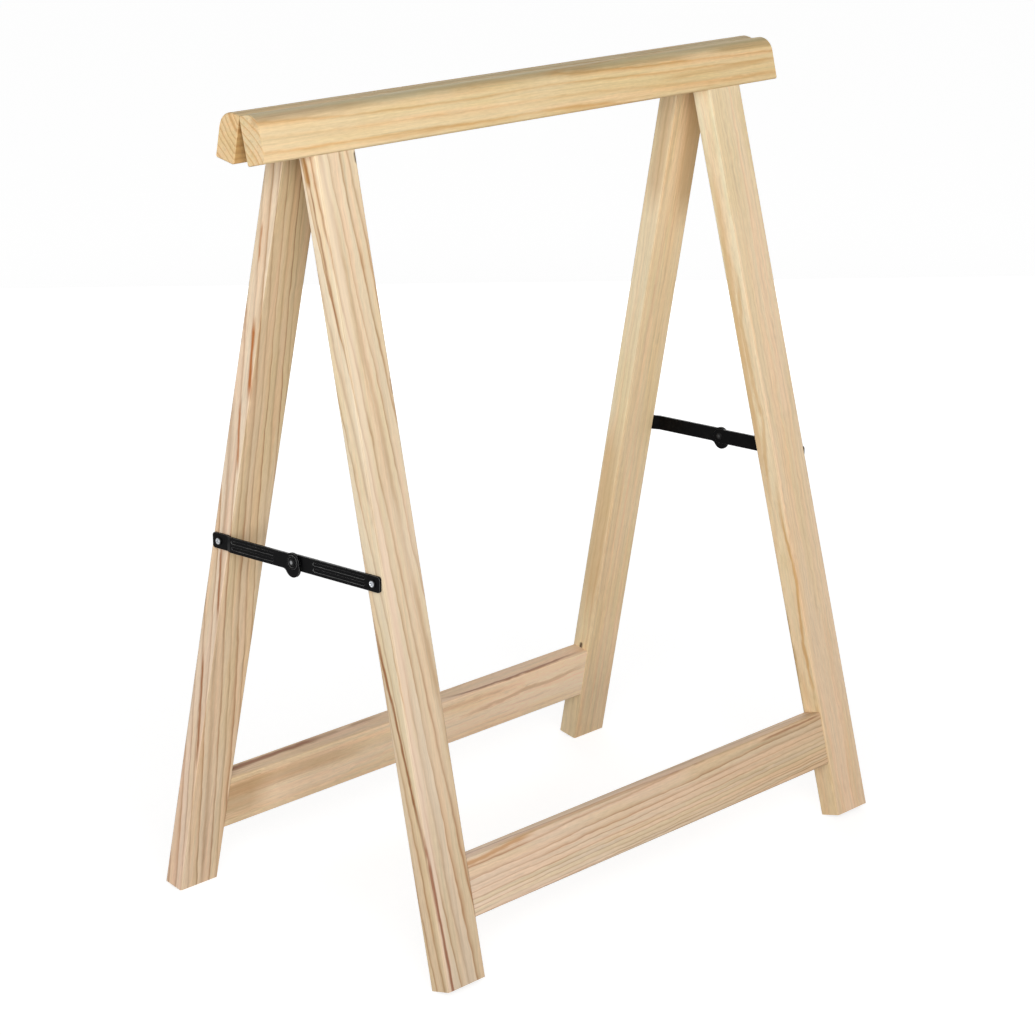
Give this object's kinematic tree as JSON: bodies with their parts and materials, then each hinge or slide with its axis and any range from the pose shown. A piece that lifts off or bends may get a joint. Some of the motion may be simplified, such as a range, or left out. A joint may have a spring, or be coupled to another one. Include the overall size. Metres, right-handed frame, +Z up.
{
  "type": "work trestle",
  "caption": "Folding softwood work trestle: leaning panels of legs and a low stretcher, hinged between rounded top rails and held open by black folding stays.",
  "frame": {"origin": "on the floor, midway between the two ends and between the front and back feet", "axes": "+Z up, +X along the top rails, the front panel stands towards -Y"},
  "size_m": [0.675, 0.3738, 0.75],
  "materials": {
    "rail_pine": "planed golden softwood, bare, matt",
    "leg_pine": "planed pale softwood with reddish latewood lines, bare, matt",
    "stretcher_pine": "planed pale softwood, bare, matt",
    "dowel_beech": "turned hardwood, bare",
    "hinge_steel": "zinc-plated steel, satin",
    "screw_steel": "zinc-plated steel, semi-bright",
    "stay_black": "black coated steel, soft sheen",
    "rivet_black": "blackened steel, satin"
  },
  "bodies": {
    "back_panel": {"back_top_rail": "rail_pine", "back_stretcher": "stretcher_pine", "back_leg_dowels": "dowel_beech", "back_stretcher_dowels": "dowel_beech", "back_hinge_screws": "screw_steel", "back_left_leg": "leg_pine", "left_stay_back_screw": "screw_steel", "back_right_leg": "leg_pine", "right_stay_back_screw": "screw_steel", "left_hinge_back_leaf": "hinge_steel", "left_hinge_pin": "hinge_steel", "right_hinge_back_leaf": "hinge_steel", "right_hinge_pin": "hinge_steel"},
    "front_panel": {"front_top_rail": "rail_pine", "front_stretcher": "stretcher_pine", "front_leg_dowels": "dowel_beech", "front_stretcher_dowels": "dowel_beech", "front_hinge_screws": "screw_steel", "front_left_leg": "leg_pine", "left_stay_front_screw": "screw_steel", "front_right_leg": "leg_pine", "right_stay_front_screw": "screw_steel", "left_hinge_front_leaf": "hinge_steel", "right_hinge_front_leaf": "hinge_steel"},
    "left_back_link": {"left_stay_back_link": "stay_black", "left_stay_rivet_head": "rivet_black"},
    "left_front_link": {"left_stay_front_link": "stay_black", "left_stay_rivet_tail": "rivet_black"},
    "right_back_link": {"right_stay_back_link": "stay_black", "right_stay_rivet_head": "rivet_black"},
    "right_front_link": {"right_stay_front_link": "stay_black", "right_stay_rivet_tail": "rivet_black"}
  },
  "joints": [
    {"name": "panel_fold", "type": "hinge", "parent": "back_panel", "child": "front_panel", "pos_m": [0, 0, 0.7369], "axis": [1, 0, 0], "range_deg": [0, 25]},
    {"name": "left_back_link_pivot", "type": "hinge", "parent": "back_panel", "child": "left_back_link", "pos_m": [-0.2897, 0.09824, 0.35385], "axis": [1, 0, 0], "range_deg": [-69.9, 0]},
    {"name": "left_front_link_pivot", "type": "hinge", "parent": "front_panel", "child": "left_front_link", "pos_m": [-0.2897, -0.09824, 0.35385], "axis": [1, 0, 0], "range_deg": [0, 69.9]},
    {"name": "right_back_link_pivot", "type": "hinge", "parent": "back_panel", "child": "right_back_link", "pos_m": [0.2897, 0.09824, 0.35385], "axis": [1, 0, 0], "range_deg": [-69.9, 0]},
    {"name": "right_front_link_pivot", "type": "hinge", "parent": "front_panel", "child": "right_front_link", "pos_m": [0.2897, -0.09824, 0.35385], "axis": [1, 0, 0], "range_deg": [0, 69.9]}
  ],
  "couplings": [
    {"joint": "left_back_link_pivot", "follows": "panel_fold", "ratio": -2.7958},
    {"joint": "left_front_link_pivot", "follows": "panel_fold", "ratio": 2.7958},
    {"joint": "right_back_link_pivot", "follows": "panel_fold", "ratio": -2.7958},
    {"joint": "right_front_link_pivot", "follows": "panel_fold", "ratio": 2.7958}
  ]
}
